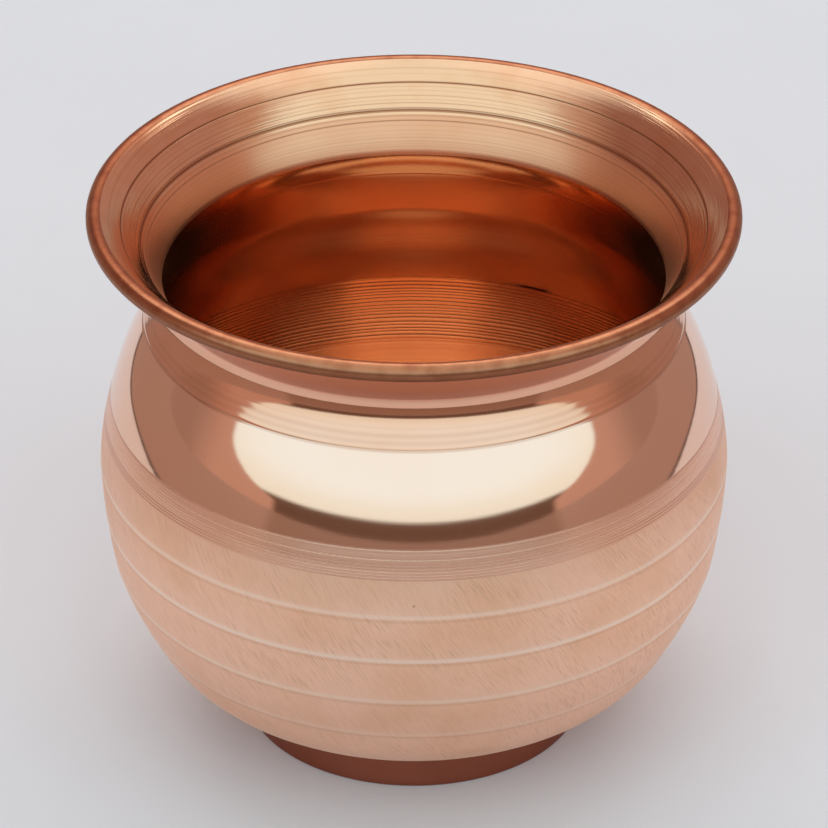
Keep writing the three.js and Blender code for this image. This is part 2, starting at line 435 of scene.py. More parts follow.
def finish(
    name, clean, stained, roughness, lines, scratches=None, wave=0.0, across=0.0, dirt_and_painted_light=GRIME_AND_SHADE, **stain_values
):
    """lines is (per metre, bump in metres, share of roughness); scratches is (bump share, colour)"""
    material = bpy.data.materials.new(name)
    material.use_nodes = True
    tree = material.node_tree
    shader = tree.nodes["Principled BSDF"]
    shader.inputs["Metallic"].default_value = 1.0
    stain = placed(tree, tarnish, **stain_values)
    per_metre, depth, rough_share = lines
    turned_lines = placed(tree, turning_marks, **{"Lines per metre": per_metre})
    wear_and_light = node(tree, "ShaderNodeAttribute", attribute_name="wear_and_painted_light").outputs["Fac"]
    # Below zero: grime, and painted shade in creases, gaps and under ridges
    grime = calc(tree, "MULTIPLY", wear_and_light, -1.0, clamp=True)
    burnish_and_highlight = calc(tree, "MULTIPLY", wear_and_light, 1.0, clamp=True)

    colour = blend(tree, calc(tree, "MULTIPLY", stain["Cloud"], STAIN_SHARE), clean, stained)
    height = turned_lines["Height"]
    rough = calc(tree, "MULTIPLY_ADD", height, rough_share, roughness - rough_share / 2)
    if scratches:
        brushed = placed(tree, brush_scratches)
        scratch_share, scratch_colour = scratches
        strength = calc(tree, "MULTIPLY_ADD", brushed["Patch"], PATCH_SHARE, 1 - PATCH_SHARE)
        deep = calc(tree, "MULTIPLY", strength, calc(tree, "SUBTRACT", brushed["Height"], SCRATCH_LEVEL))
        scratched = calc(tree, "MULTIPLY", deep, SCRATCH_CONTRAST, clamp=True)
        colour = blend(tree, scratched, colour, scratch_colour)
        height = calc(tree, "MULTIPLY_ADD", brushed["Height"], scratch_share, height)
        rough = calc(tree, "MULTIPLY_ADD", brushed["Height"], SCRATCH_DULL, rough)
    # Painted highlight: burnished lines and ribs turn cream, as if lit
    colour = blend(tree, burnish_and_highlight, colour, PAINTED_HIGHLIGHT)
    specks = calc(tree, "MULTIPLY", stain["Speck"], SPECK_SHOWS)
    # The dirt colour paints grime and specks, and painted shade where the attribute is below zero
    colour = blend(tree, calc(tree, "MAXIMUM", specks, grime), colour, dirt_and_painted_light)
    rough = calc(tree, "MULTIPLY_ADD", burnish_and_highlight, -WEAR_SHINE, rough)
    rough = calc(tree, "MULTIPLY_ADD", grime, GRIME_DULL, rough)

    waves = node(tree, "ShaderNodeBump", {"Height": stain["Wave"], "Distance": wave, "Strength": 1.0})
    marks = {"Height": height, "Distance": depth, "Strength": 1.0, "Normal": waves.outputs[0]}
    bump = node(tree, "ShaderNodeBump", marks)
    if across:
        round_way = node(tree, "ShaderNodeTangent", direction_type="RADIAL", axis="Z")
        shader.inputs["Anisotropic"].default_value = across
        shader.inputs["Anisotropic Rotation"].default_value = QUARTER_TURN
        tree.links.new(round_way.outputs[0], shader.inputs["Tangent"])
    tree.links.new(colour, shader.inputs["Base Color"])
    tree.links.new(rough, shader.inputs["Roughness"])
    tree.links.new(bump.outputs[0], shader.inputs["Normal"])
    return material


# %% Finishes of the upper shell
mirror_copper = finish(
    "mirror_copper",
    rgba(0.93, 0.585, 0.44),
    rgba(0.91, 0.54, 0.37),
    roughness=0.06,
    lines=(1500, 0.0000012, 0.02),
    wave=0.00012,
    **{"Speck rarity": 0.992},
)
neck_copper = finish(
    "neck_copper",
    rgba(0.86, 0.46, 0.31),
    rgba(0.82, 0.41, 0.25),
    roughness=0.08,
    lines=(1500, 0.000002, 0.03),
    wave=0.00012,
    **{"Speck rarity": 0.992},
)
under_copper = finish(
    "under_copper",
    rgba(0.56, 0.29, 0.20),
    rgba(0.46, 0.21, 0.13),
    roughness=0.16,
    lines=(1500, 0.000004, 0.06),
    wave=0.00010,
)
throat_copper = finish(
    "throat_copper",
    rgba(0.87, 0.47, 0.28),
    rgba(0.79, 0.37, 0.20),
    roughness=0.34,
    lines=(2600, 0.000004, 0.05),
    wave=0.00010,
    across=0.75,
    **{"Speck rarity": 0.985},
)
flare_copper = finish(
    "flare_copper",
    rgba(0.94, 0.62, 0.40),
    rgba(0.84, 0.46, 0.26),
    roughness=0.10,
    lines=(2600, 0.000045, 0.08),
    wave=0.00014,
    across=0.6,
    dirt_and_painted_light=rgba(0.25, 0.065, 0.018),
    **{"Cloud size": 110.0, "Speck rarity": 0.992},
)
rim_copper = finish(
    "rim_copper",
    rgba(0.52, 0.22, 0.115),
    rgba(0.34, 0.11, 0.055),
    roughness=0.28,
    lines=(900, 0.000010, 0.08),
    wave=0.00002,
    **{"Cloud size": 380.0, "Speck size": 900.0, "Speck rarity": 0.95, "Wave size": 700.0},
)
inside_copper = finish(
    "inside_copper",
    rgba(0.80, 0.465, 0.28),
    rgba(0.73, 0.38, 0.21),
    roughness=0.14,
    lines=(2200, 0.000005, 0.06),
    across=0.7,
    # Dark of the valleys, also the painted shade of the open spot
    dirt_and_painted_light=rgba(0.10, 0.025, 0.01),
    **{"Speck size": 700.0, "Speck rarity": 0.95},
)

# %% Finishes of the bowl, the foot and the hidden pieces
lap_copper = finish(
    "lap_copper",
    rgba(0.91, 0.52, 0.37),
    rgba(0.84, 0.44, 0.27),
    roughness=0.29,
    lines=(2300, 0.000008, 0.10),
    across=0.4,
    **{"Speck rarity": 0.99},
)
satin_copper = finish(
    "satin_copper",
    rgba(0.97, 0.60, 0.43),
    rgba(0.87, 0.49, 0.29),
    roughness=0.40,
    lines=(1800, 0.000005, 0.06),
    scratches=(0.9, rgba(0.76, 0.45, 0.29)),
    **{"Cloud size": 70.0, "Speck rarity": 0.985},
)
# Dark as painted shade under the belly
foot_copper = finish(
    "foot_copper",
    rgba(0.35, 0.115, 0.07),
    rgba(0.26, 0.08, 0.045),
    roughness=0.22,
    lines=(2600, 0.000006, 0.08),
    across=0.4,
)
wire_copper = finish(
    "wire_copper",
    rgba(0.80, 0.45, 0.30),
    rgba(0.60, 0.30, 0.20),
    roughness=0.40,
    lines=(800, 0.000004, 0.06),
)
braze_metal = finish(
    "braze_metal",
    rgba(0.82, 0.46, 0.24),
    rgba(0.56, 0.28, 0.13),
    roughness=0.36,
    lines=(900, 0.00002, 0.10),
    # Near-black: specks, and the painted shade of the open spot
    dirt_and_painted_light=rgba(0.015, 0.006, 0.004),
)

# %% [markdown]
# ## The lower bowl
# The bowl is spun from one disc. Outside it has four burnished bands. Where one
# band of burnishing meets the next a low ridge is left, rubbed by the edge of
# the tool, with a painted highlight along its top and a painted shade line
# under it. Over the joint there is a set of turned lines. Inside the bowl keeps
# the ridges of the spinning tool, 0.62 mm apart, round-topped with sharp dark
# valleys, which nobody reaches to polish away.

# %% The burnished bands
BAND_BOTTOM = BAND_TOP - BAND_COUNT * BAND_PITCH
BAND_EDGES = [BAND_BOTTOM + i * BAND_PITCH for i in range(BAND_COUNT + 1)]
# Strength of the painted highlight at each band edge
BAND_HIGHLIGHT = [0.25, 0.35, 0.6, 0.85, 0.65]
BAND_LIP = 0.075
BAND_FADE = 1.6
BAND_UNDERCUT = 0.12
HIGHLIGHT_LINE = (-0.15, 0.9, 0.35)
HIGHLIGHT_LINE_SHARE = 0.7
# Place and darkness of the painted shade line under each ridge
SHADE_LINE = (-0.8, -0.05, 0.3)
SHADE_LINE_STRENGTH = 0.10


def band_relief(z):
    """A low ridge at each edge: a long slope above it, a short steep one below; a painted highlight on and
    above it, a painted shade line under it
    """
    relief = np.zeros_like(z)
    wear_and_painted_light = np.zeros_like(z)
    for edge, highlight in zip(BAND_EDGES, BAND_HIGHLIGHT):
        above = z - edge
        long_slope = np.exp(-np.maximum(above, 0) / BAND_FADE)
        steep_slope = np.exp(np.minimum(above, 0) / BAND_UNDERCUT)
        relief += BAND_LIP * np.where(above > 0, long_slope, steep_slope)
        # Painted highlight on the ridge, fading up the slope above it; painted shade under it
        sheen_above = (1 - HIGHLIGHT_LINE_SHARE) * long_slope * (above > 0)
        wear_and_painted_light += highlight * (HIGHLIGHT_LINE_SHARE * window(above, *HIGHLIGHT_LINE) + sheen_above)
        wear_and_painted_light -= SHADE_LINE_STRENGTH * window(above, *SHADE_LINE)
    return relief, wear_and_painted_light


# %% The turned lines over the joint
LAP_LINE_BOTTOM = 51.95
LAP_LINE_PITCH = 0.47
LAP_LINE_WIDTH = 0.07
LAP_LINE_DEPTH = 0.012
# Strength of the painted highlight on the rubbed lines
LAP_LINE_HIGHLIGHT = 0.30
LAP_DARK_LINES = 3
LAP_DARK_STRENGTH = 2.2
LAP_DARK_GRIME = 0.34
EDGE_GRIME = 0.35
EDGE_FADE = 0.3


def lap_line_table():
    """The lowest lines are deep and dark; the others are rubbed and carry a painted highlight, some more
    than others
    """
    count = int((SEAM_HEIGHT - LAP_LINE_BOTTOM) / LAP_LINE_PITCH)
    table = []
    for i in range(count + 1):
        strong = 0.55 + 0.45 * math.sin(2.3 * i)
        # Painted highlight on the rubbed lines
        dirt_and_painted_light = -LAP_LINE_HIGHLIGHT * strong
        if i < LAP_DARK_LINES:
            strong = LAP_DARK_STRENGTH
            dirt_and_painted_light = LAP_DARK_GRIME
        height = LAP_LINE_BOTTOM + i * LAP_LINE_PITCH
        table.append((height, LAP_LINE_WIDTH, LAP_LINE_DEPTH * strong, dirt_and_painted_light))
    return table


# %% The spun ridges inside
RIDGE_TOP = 49.4
RIDGE_BOTTOM = 37.2
RIDGE_PITCH = 0.62
RIDGE_DEPTH = 0.034
RIDGE_FADE = 0.9
RIDGE_DRIFT = 0.10
RIDGE_CHANGE = 0.2
VALLEY_WIDTH = 0.12
SWELL_SHARE = 0.10
SWELL_RIDGES = 5
SWELL_BOTTOM = 8


def spun_ridges(z):
    """Round-topped ridges with grime in their sharp valleys, and faint swells below them"""
    strong = window(z, RIDGE_BOTTOM, RIDGE_TOP, RIDGE_FADE)
    faint = window(z, SWELL_BOTTOM, RIDGE_BOTTOM, 1.0)
    drift = z + RIDGE_DRIFT * np.sin(1.9 * z)
    from_crest = np.abs((drift / RIDGE_PITCH) % 1 - 0.5) * 2
    crest = 1 - from_crest**4
    size = 1 - RIDGE_CHANGE + RIDGE_CHANGE * np.sin(3.1 * np.floor(drift / RIDGE_PITCH))
    swell = SWELL_SHARE * faint * np.cos(2 * math.pi * z / (SWELL_RIDGES * RIDGE_PITCH))
    relief = RIDGE_DEPTH * (strong * crest * size + swell)
    grime = -strong * size * np.exp(-(((1 - from_crest) / (2 * VALLEY_WIDTH)) ** 2))
    return relief, grime


# %% Build the lower bowl
SATIN, LAPPED, RAW = range(3)
UNDER_SPACING = 1.6
BELLY_SPACING = 0.2
LAP_SPACING = 0.05
BASE_SPACING = 0.9
RIDGE_SPACING = 0.08
HIDDEN_SPACING = 0.8


def gathered(parts):
    return np.vstack([line for line, _ in parts]), np.vstack([normal for _, normal in parts])


def outside_bowl():
    under = stretch(0, BAND_BOTTOM - 1, UNDER_SPACING)
    belly = stretch(BAND_BOTTOM - 1, LAP_LINE_BOTTOM - 0.5, BELLY_SPACING)
    line, normal = gathered([under, belly])
    relief, wear_and_painted_light = band_relief(line[:, 1])
    return moved(line, normal, relief), wear_and_painted_light


def outside_lap():
    line, normal = stretch(LAP_LINE_BOTTOM - 0.5 + FINE, SEAM_HEIGHT, LAP_SPACING)
    relief, wear_and_painted_light = cuts(line[:, 1], lap_line_table())
    wear_and_painted_light = wear_and_painted_light - EDGE_GRIME * np.clip((line[:, 1] - SEAM_HEIGHT + EDGE_FADE) / EDGE_FADE, 0, 1)
    return moved(line, normal, relief + band_relief(line[:, 1])[0]), wear_and_painted_light


def inside_bowl():
    base = stretch(0, RIDGE_BOTTOM - 0.8, BASE_SPACING)
    ridges = stretch(RIDGE_BOTTOM - 0.8, RIDGE_TOP + 0.5, RIDGE_SPACING)
    behind_skirt = stretch(RIDGE_TOP + 0.6, SEAM_HEIGHT, HIDDEN_SPACING)
    line, normal = gathered([base, ridges, behind_skirt])
    relief, wear_and_painted_light = spun_ridges(line[:, 1])
    return moved(line, normal, -SHEET - relief + RIDGE_DEPTH / 2)[::-1], wear_and_painted_light[::-1]


bowl_line, bowl_wear_and_light = outside_bowl()
lap_line, lap_wear_and_light = outside_lap()
bowl_inner, bowl_inner_wear = inside_bowl()
bowl = turned(
    "lower_bowl_spun",
    [(bowl_line, SATIN, bowl_wear_and_light), (lap_line, LAPPED, lap_wear_and_light), (bowl_inner, RAW, bowl_inner_wear)],
    [satin_copper, lap_copper, inside_copper],
)
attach(bowl, "root")
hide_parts("lower_bowl")

# %% [markdown]
# ## The upper shell
# The second disc becomes the shoulder, neck, flare and lip. It is buffed to a
# mirror outside. Inside, the buffing wheel reached down to the throat. The wall
# below it is raw, with one rib near its top that carries a painted highlight.
# The flare keeps many engraved lines, some deep and dark, some only a hair. The
# lip was not buffed: it has browned with handling. Painted shade darkens the
# crease under the rolled lip. The shell's lower edge steps in and slides behind
# the bowl's wall, and its top edge goes once round the rim wire.

# %% Lines engraved in the upper shell: height, width, depth and grime
FLARE_LINES = [
    (87.48, 0.05, 0.010, 0.25),
    (86.90, 0.04, 0.005, 0.12),
    (85.94, 0.10, 0.045, 1.0),
    (85.45, 0.05, 0.010, 0.22),
    (84.97, 0.05, 0.008, 0.18),
    (84.37, 0.06, 0.012, 0.32),
    (83.87, 0.05, 0.010, 0.22),
    (83.47, 0.07, 0.015, 0.40),
    (82.84, 0.08, 0.020, 0.65),
    (82.58, 0.11, 0.030, 1.0),
    (82.39, 0.06, 0.020, 0.65),
    (81.83, 0.06, 0.012, 0.30),
    (81.24, 0.07, 0.020, 0.60),
    (80.60, 0.05, 0.004, 0.12),
    (79.95, 0.05, 0.003, 0.12),
    (79.39, 0.05, 0.003, 0.10),
    (79.00, 0.06, 0.004, 0.16),
    (78.46, 0.06, 0.004, 0.16),
    (78.10, 0.05, 0.003, 0.12),
    (77.76, 0.06, 0.004, 0.16),
    (77.23, 0.06, 0.004, 0.14),
]
SHOULDER_LINES = [
    (70.2, 0.20, 0.032, 0.30),
    (71.2, 0.30, 0.003, 0.12),
    (72.2, 0.30, 0.004, 0.14),
    (73.2, 0.16, 0.002, 0.05),
]
BUFFED_TO = 76.8
# The rib carries a painted highlight; the cut beside it holds grime
BUFF_RIB_AND_HIGHLIGHT = [(73.2, 0.16, -0.03, -0.3), (72.9, 0.10, 0.015, 0.4)]
INSIDE_LINES = [(58.9 - RIDGE_PITCH * i, 0.12, 0.008, 0.16) for i in range(7)]

# %% Runs of the upper shell
MIRROR, FLARE, RIM, INSIDE, NECK_WALL, UNDER_LIP, THROAT = range(7)
SKIRT_DEPTH = SHEET + BRAZE_FILM + 2 * CLEARANCE
SKIRT_BOTTOM = SEAM_HEIGHT - LAP
NECK_LINE = 70.2
UNDERSIDE = 77.8
SEAM_LOOP = 0.2
CUTS_BOTTOM = 69.2
CUTS_TOP = 74.0
THROAT_TOP = 82.1
# Painted shade in the crease under the rolled lip
CREASE_SHADE = 0.9
CREASE_REACH = 2.0
ROLL_POINTS = 40
ROLL_END = -165
ROLL_CAP = 14
ROLL_SHADE_FROM = 40
ROLL_SHADE_OVER = 75
STEP_TOP = 8.5
STEP_BELOW = 1.2
STEP_GRIME = 0.10
SHOULDER_SPACING = 0.45
NECK_SPACING = 0.1
UNDER_LIP_SPACING = 0.3
FLARE_SPACING = 0.06
WALL_SPACING = 0.16
SKIRT_SPACING = 0.4


def shell_outside():
    """Mirror shoulder, neck and underside of the lip; close points keep the seam's edge crisp"""
    seam = stretch(SEAM_HEIGHT + CLEARANCE, SEAM_HEIGHT + SEAM_LOOP, FINE)
    shoulder = stretch(SEAM_HEIGHT + SEAM_LOOP + FINE, CUTS_BOTTOM, SHOULDER_SPACING)
    neck = stretch(CUTS_BOTTOM + FINE, CUTS_TOP, NECK_SPACING)
    flare = stretch(CUTS_TOP + 0.1, LIP_HEIGHT + 2, UNDER_LIP_SPACING)
    line, normal = gathered([seam, shoulder, neck, flare])
    relief, wear_and_painted_light = cuts(line[:, 1], SHOULDER_LINES)
    # Painted shade darkens the underside of the flare towards the crease under the rolled lip
    wear_and_painted_light = wear_and_painted_light - CREASE_SHADE * np.clip((line[:, 1] - LIP_HEIGHT + CREASE_REACH) / CREASE_REACH, 0, 1)
    line = moved(line, normal, relief)
    marks = [0, *(int(np.argmax(line[:, 1] > z)) for z in (NECK_LINE, UNDERSIDE)), len(line)]
    slots = (MIRROR, NECK_WALL, UNDER_LIP)
    return [(line[a:b], slot, wear_and_painted_light[a:b]) for a, b, slot in zip(marks, marks[1:], slots)]


def lip_roll():
    """Round the wire on the inside of the sheet, over its end and back on the outside"""
    angles = np.linspace(90 + LIP_SLOPE, ROLL_END, ROLL_POINTS)
    inner = [polar(ROLL_INSIDE, a) for a in angles]
    half = SHEET / 2
    middle = ROLL_INSIDE + half
    turn_over = [
        polar(middle + half * math.sin(t), ROLL_END - ROLL_CAP * math.cos(t)) for t in (-0.8, 0, 0.8)
    ]
    outer = [polar(ROLL_OUTSIDE, a) for a in angles[::-1]]
    wear_and_painted_light = np.zeros(2 * ROLL_POINTS + len(turn_over))
    round_the_roll = np.append([ROLL_END] * len(turn_over), angles[::-1])
    # Painted shade on the underside of the roll and in its crease
    wear_and_painted_light[ROLL_POINTS:] = -CREASE_SHADE * np.clip((ROLL_SHADE_FROM - round_the_roll) / ROLL_SHADE_OVER, 0, 1)
    return np.array(inner + turn_over + outer), wear_and_painted_light


def flare_inside(low, high):
    line, normal = stretch(low, high, FLARE_SPACING)
    relief, wear_and_painted_light = cuts(line[:, 1], FLARE_LINES)
    return moved(line, normal, -SHEET - relief)[::-1], wear_and_painted_light[::-1]


def inside_wall():
    """From the throat down to the skirt's edge; the wall steps in smoothly on the way"""
    line, normal = stretch(SKIRT_BOTTOM, BUFFED_TO - 0.05, WALL_SPACING)
    relief, wear_and_painted_light = cuts(line[:, 1], INSIDE_LINES + BUFF_RIB_AND_HIGHLIGHT)
    down = np.clip((SEAM_HEIGHT + STEP_TOP - line[:, 1]) / (STEP_TOP + STEP_BELOW), 0, 1)
    step = SKIRT_DEPTH * down**2 * (3 - 2 * down)
    wear_and_painted_light = wear_and_painted_light - 4 * STEP_GRIME * down * (1 - down)
    return moved(line, normal, -SHEET - relief - step)[::-1], wear_and_painted_light[::-1]


# %% Build the upper shell
skirt_line, skirt_normal = stretch(SKIRT_BOTTOM, SEAM_HEIGHT, SKIRT_SPACING)
skirt_outside = moved(skirt_line, skirt_normal, -SKIRT_DEPTH)
step_out = np.array([[skirt_outside[-1, 0], SEAM_HEIGHT + CLEARANCE]])
roll_line, roll_shade = lip_roll()
flare_line, flare_wear = flare_inside(THROAT_TOP, LIP_HEIGHT + 2)
bend_line, bend_wear = flare_inside(BUFFED_TO, THROAT_TOP - 0.05)
wall_line, wall_wear_and_light = inside_wall()
shell = turned(
    "upper_shell_spun",
    [
        (np.vstack([skirt_outside, step_out]), INSIDE, 0),
        *shell_outside(),
        (roll_line, RIM, roll_shade),
        (flare_line, FLARE, flare_wear),
        (bend_line, THROAT, bend_wear),
        (wall_line, INSIDE, wall_wear_and_light),
    ],
    [mirror_copper, flare_copper, rim_copper, inside_copper, neck_copper, under_copper, throat_copper],
)
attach(shell, "root")
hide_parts("upper_shell")

# %% [markdown]
# ## Wire and brazing metal
# The wire never shows, but it is what the lip is rolled round, so it is here.
# The brazing metal shows in two places: as a thin, slightly uneven fillet
# under the skirt's edge inside the vessel, and in the corner inside the foot.
# Molten metal doesn't run evenly, so both fillets swell and thin as they go.
# At one spot behind on the right the fillet missed, and the joint gapes; its black is painted shade.

# %% Build the wire
WIRE_SIDES = 24


def circle(radius, count):
    return np.array([polar(radius, a) for a in np.linspace(0, 360, count, endpoint=False)])


wire = turned("rim_wire_drawn", [(circle(WIRE_RADIUS, WIRE_SIDES), 0, 0)], [wire_copper])
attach(wire, "root")
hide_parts("rim_wire")

# %% The film and fillet in the lap
BRAZE_FILLET = 0.7
FILLET_REACH = 0.9
FILLET_POINTS = 8
FILLET_DIP = 0.12


def bent(start, corner, end):
    """A curve from start to end that is drawn towards the corner"""
    t = np.linspace(0, 1, FILLET_POINTS)[:, None]
    return (1 - t) ** 2 * start + 2 * t * (1 - t) * corner + t**2 * end


film_line, film_normal = stretch(SKIRT_BOTTOM, SEAM_HEIGHT, SKIRT_SPACING)
film_outer = moved(film_line, film_normal, -SHEET - CLEARANCE)
film_inner = moved(film_line, film_normal, -SKIRT_DEPTH + CLEARANCE)[::-1]
toe = film_inner[-1] + np.array([-SHEET * FILLET_REACH, -CLEARANCE])
below_line, below_normal = stretch(SKIRT_BOTTOM - BRAZE_FILLET, SKIRT_BOTTOM, SKIRT_SPACING)
below = moved(below_line, below_normal, -SHEET - CLEARANCE)[0]
fillet = bent(toe, np.array([below[0] - FILLET_DIP, toe[1] - FILLET_DIP]), below)

# %% Build the brazing metal of the lap
OPEN_SPOT = 66.0
OPEN_SPOT_HALF = 4.0
OPEN_SPOT_FADE = 0.6
SPOT_SHRINK = 0.22
LAP_SWELL = 0.10


def uneven(amount, seed):
    """A slow, repeatable swell round the axis, as a share of the amount"""
    waves = [(3, 0.4), (7, 0.3), (13, 0.2), (29, 0.1)]

    def swell(angles):
        return amount * sum(share * np.sin(n * angles + seed * n) for n, share in waves)

    return swell


def open_share(angles):
    """1 in the middle of the open spot, 0 away from it"""
    away = np.degrees(np.abs(np.angle(np.exp(1j * (angles - math.radians(OPEN_SPOT))))))
    return np.clip((OPEN_SPOT_HALF - away) / OPEN_SPOT_FADE, 0, 1)


lap_swell = uneven(LAP_SWELL, 0.7)


def braze_wobble(rings, angles):
    change = np.zeros(rings.shape)
    start = len(film_outer) + len(film_inner)
    open_here = open_share(angles)
    for k in range(1, FILLET_POINTS - 1):
        bulge = math.sin(math.pi * k / (FILLET_POINTS - 1))
        change[start + k, :, 0] = bulge * (lap_swell(angles) * (1 - open_here) + SPOT_SHRINK * open_here)
    return change


braze = turned(
    "belly_braze_run",
    [(film_outer, 0, 0), (film_inner, 0, 0), (fillet, 0, 0)],
    [braze_metal],
    steps=2 * TURN_STEPS,
    wobble=braze_wobble,
)

# %% Painted shade in the open spot
SPOT_BELOW = 0.75
SPOT_ABOVE = 0.3
WALL_THERE = stretch(SKIRT_BOTTOM - 0.5, SKIRT_BOTTOM + 0.5, 0.1)[0][:, 0].min()


def paint_gap_shade(piece):
    """Painted shade of the gap round the open spot, on whatever part of a piece lies there"""
    spots = np.empty(3 * len(piece.data.vertices))
    piece.data.vertices.foreach_get("co", spots)
    spots = spots.reshape(-1, 3) / MM
    beside = (spots[:, 2] > SKIRT_BOTTOM - SPOT_BELOW) & (spots[:, 2] < SKIRT_BOTTOM + SPOT_ABOVE)
    inner = np.hypot(spots[:, 0], spots[:, 1]) < WALL_THERE - SHEET / 2
    wear_and_light = piece.data.attributes["wear_and_painted_light"].data
    before = np.empty(len(wear_and_light))
    wear_and_light.foreach_get("value", before)
    missed = open_share(np.arctan2(spots[:, 1], spots[:, 0])) * beside * inner
    wear_and_light.foreach_set("value", np.where(missed > 0, -missed, before).astype(np.float32))


for piece in (braze, shell, bowl):
    paint_gap_shade(piece)
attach(braze, "root")
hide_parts("belly_braze")

# %% [markdown]
# ## The foot
# A strip bent into a ring, a little wider at the bottom, brazed on and buffed.
# Its dark colour is painted shade under the belly. Its edges are rounded by
# wear, and a step where it meets the bowl reads as a dark line in the
# photograph.

# %% Build the foot ring
FOOT_EDGE_ROUND = 0.35
FOOT_HOLLOW = 0.12
SEAT_INNER = SEAT[0] - FOOT_WALL


def at_radius(radius):
    k = int(np.argmax(OUTLINE[:, 0] >= radius))
    return OUTLINE[k], outward(OUTLINE)[k]


def foot_section():
    seat = [at_radius(r) for r in np.linspace(SEAT[0], SEAT_INNER, 6)]
    top = np.array([point + normal * CLEARANCE for point, normal in seat])
    outer_low = np.array([FOOT_BOTTOM_RADIUS, 0.0])
    inner_low = np.array([FOOT_BOTTOM_RADIUS - FOOT_WALL, 0.0])
    angles = np.radians(np.linspace(-90, 0, 7))
    outer_round = outer_low + FOOT_EDGE_ROUND * np.column_stack([np.cos(angles) - 1, np.sin(angles) + 1])
    rise = np.linspace(0, 1, 10)[1:-1, None]
    hollow = -FOOT_HOLLOW * np.sin(math.pi * rise) * np.array([[1.0, 0.0]])
    outer_wall = outer_round[-1] * (1 - rise) + top[0] * rise + hollow
    inner_wall = top[-1] * (1 - rise) + inner_low * rise
    return np.vstack([inner_low[None], outer_round, outer_wall, top, inner_wall])


foot = turned("foot_ring_turned", [(foot_section(), 0, 0)], [foot_copper])
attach(foot, "root")
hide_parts("foot_ring")

# %% Build the fillet inside the foot
FILLET_SPREAD = 1.6
FACE_HOLLOW = (0.25, 0.2)
FOOT_SWELL = 0.08
seat_edge, seat_normal = at_radius(SEAT_INNER - 2 * CLEARANCE)
far_edge, far_normal = at_radius(SEAT_INNER - 2 * CLEARANCE - BRAZE_FILLET * FILLET_SPREAD)
fillet_top = seat_edge + seat_normal * CLEARANCE
fillet_far = far_edge + far_normal * CLEARANCE
fillet_low = fillet_top - np.array([0, BRAZE_FILLET])
face = bent(fillet_far, fillet_top - np.array(FACE_HOLLOW), fillet_low)
foot_swell = uneven(FOOT_SWELL, 2.1)


def foot_wobble(rings, angles):
    change = np.zeros(rings.shape)
    for k in range(1, FILLET_POINTS - 1):
        change[k, :, 1] = math.sin(math.pi * k / (FILLET_POINTS - 1)) * foot_swell(angles)
    return change


foot_runs = [(face, 0, 0), (fillet_top[None], 0, 0)]
foot_fillet = turned("foot_braze_run", foot_runs, [braze_metal], wobble=foot_wobble)
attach(foot_fillet, "root")
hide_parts("foot_braze")

# %% [markdown]
# ## Floor, light and camera
# Polished metal looks like whatever stands round it, so the surroundings matter
# as much as the finish. The vessel stands on a pale circle. To the front is one
# broad, bright sky, which the mirror shoulder shows as a cream patch. Under that
# sky lie dark ground and a dark skyline, which give the patch its dark lower
# edge. To the sides are soft brown-mauve walls. High up behind is a second
# bright patch, which the inside shows after three bounces as the glow on its
# ridges.


# %% Shared masks of direction
def fade(tree, value, low, high):
    """A value that goes smoothly from 0 to 1"""
    limits = {"Value": value, "From Min": low, "From Max": high}
    return node(tree, "ShaderNodeMapRange", limits, interpolation_type="SMOOTHSTEP").outputs[0]


def frontness_of(tree, vector):
    """1 straight to the front, 0 to the sides, -1 behind, and the parts of the vector"""
    split = node(tree, "ShaderNodeSeparateXYZ", {0: vector}).outputs
    level = node(tree, "ShaderNodeCombineXYZ", {"X": split["X"], "Y": split["Y"]}).outputs[0]
    facing = node(tree, "ShaderNodeVectorMath", {0: level}, operation="NORMALIZE").outputs["Vector"]
    far = node(tree, "ShaderNodeVectorMath", {0: level}, operation="LENGTH").outputs["Value"]
    frontness = calc(tree, "MULTIPLY", node(tree, "ShaderNodeSeparateXYZ", {0: facing}).outputs["Y"], -1.0)
    return frontness, split["Z"], far


# %% Floor
FLOOR_RADIUS = 4.0
CIRCLE_RADIUS = 0.280
EDGE_SHADOW_WIDTH = 0.010
EDGE_SHADOW_FADE = 0.004
GROUND_EDGE = (0.58, 0.66)
PALE_LOW = rgba(0.77, 0.79, 0.84)
PALE_HIGH = rgba(0.82, 0.84, 0.89)
GROUND_ROUND = rgba(0.42, 0.29, 0.245)
GROUND_FRONT = rgba(0.30, 0.185, 0.135)
# Colour of the painted shadow line round the pale circle
EDGE_SHADOW_COLOUR = rgba(0.10, 0.06, 0.05)
FLOOR_ROUGHNESS = 0.9
floor_mesh = bpy.data.meshes.new("floor")
corner_angles = [math.radians(a) for a in range(0, 360, 6)]
floor_corners = [(FLOOR_RADIUS * math.cos(a), FLOOR_RADIUS * math.sin(a), 0) for a in corner_angles]
floor_mesh.from_pydata(floor_corners, [], [list(range(len(floor_corners)))])
floor = bpy.data.objects.new("floor", floor_mesh)
scene.collection.objects.link(floor)

# %% Colour of the floor
whitewash = bpy.data.materials.new("whitewash")
whitewash.use_nodes = True
tree = whitewash.node_tree
floor_place = node(tree, "ShaderNodeTexCoord").outputs["Object"]
frontness, _, far = frontness_of(tree, floor_place)
pale = blend(tree, noise(tree, floor_place, 22.0, 6.0), PALE_LOW, PALE_HIGH)
ground = blend(tree, fade(tree, frontness, *GROUND_EDGE), GROUND_ROUND, GROUND_FRONT)
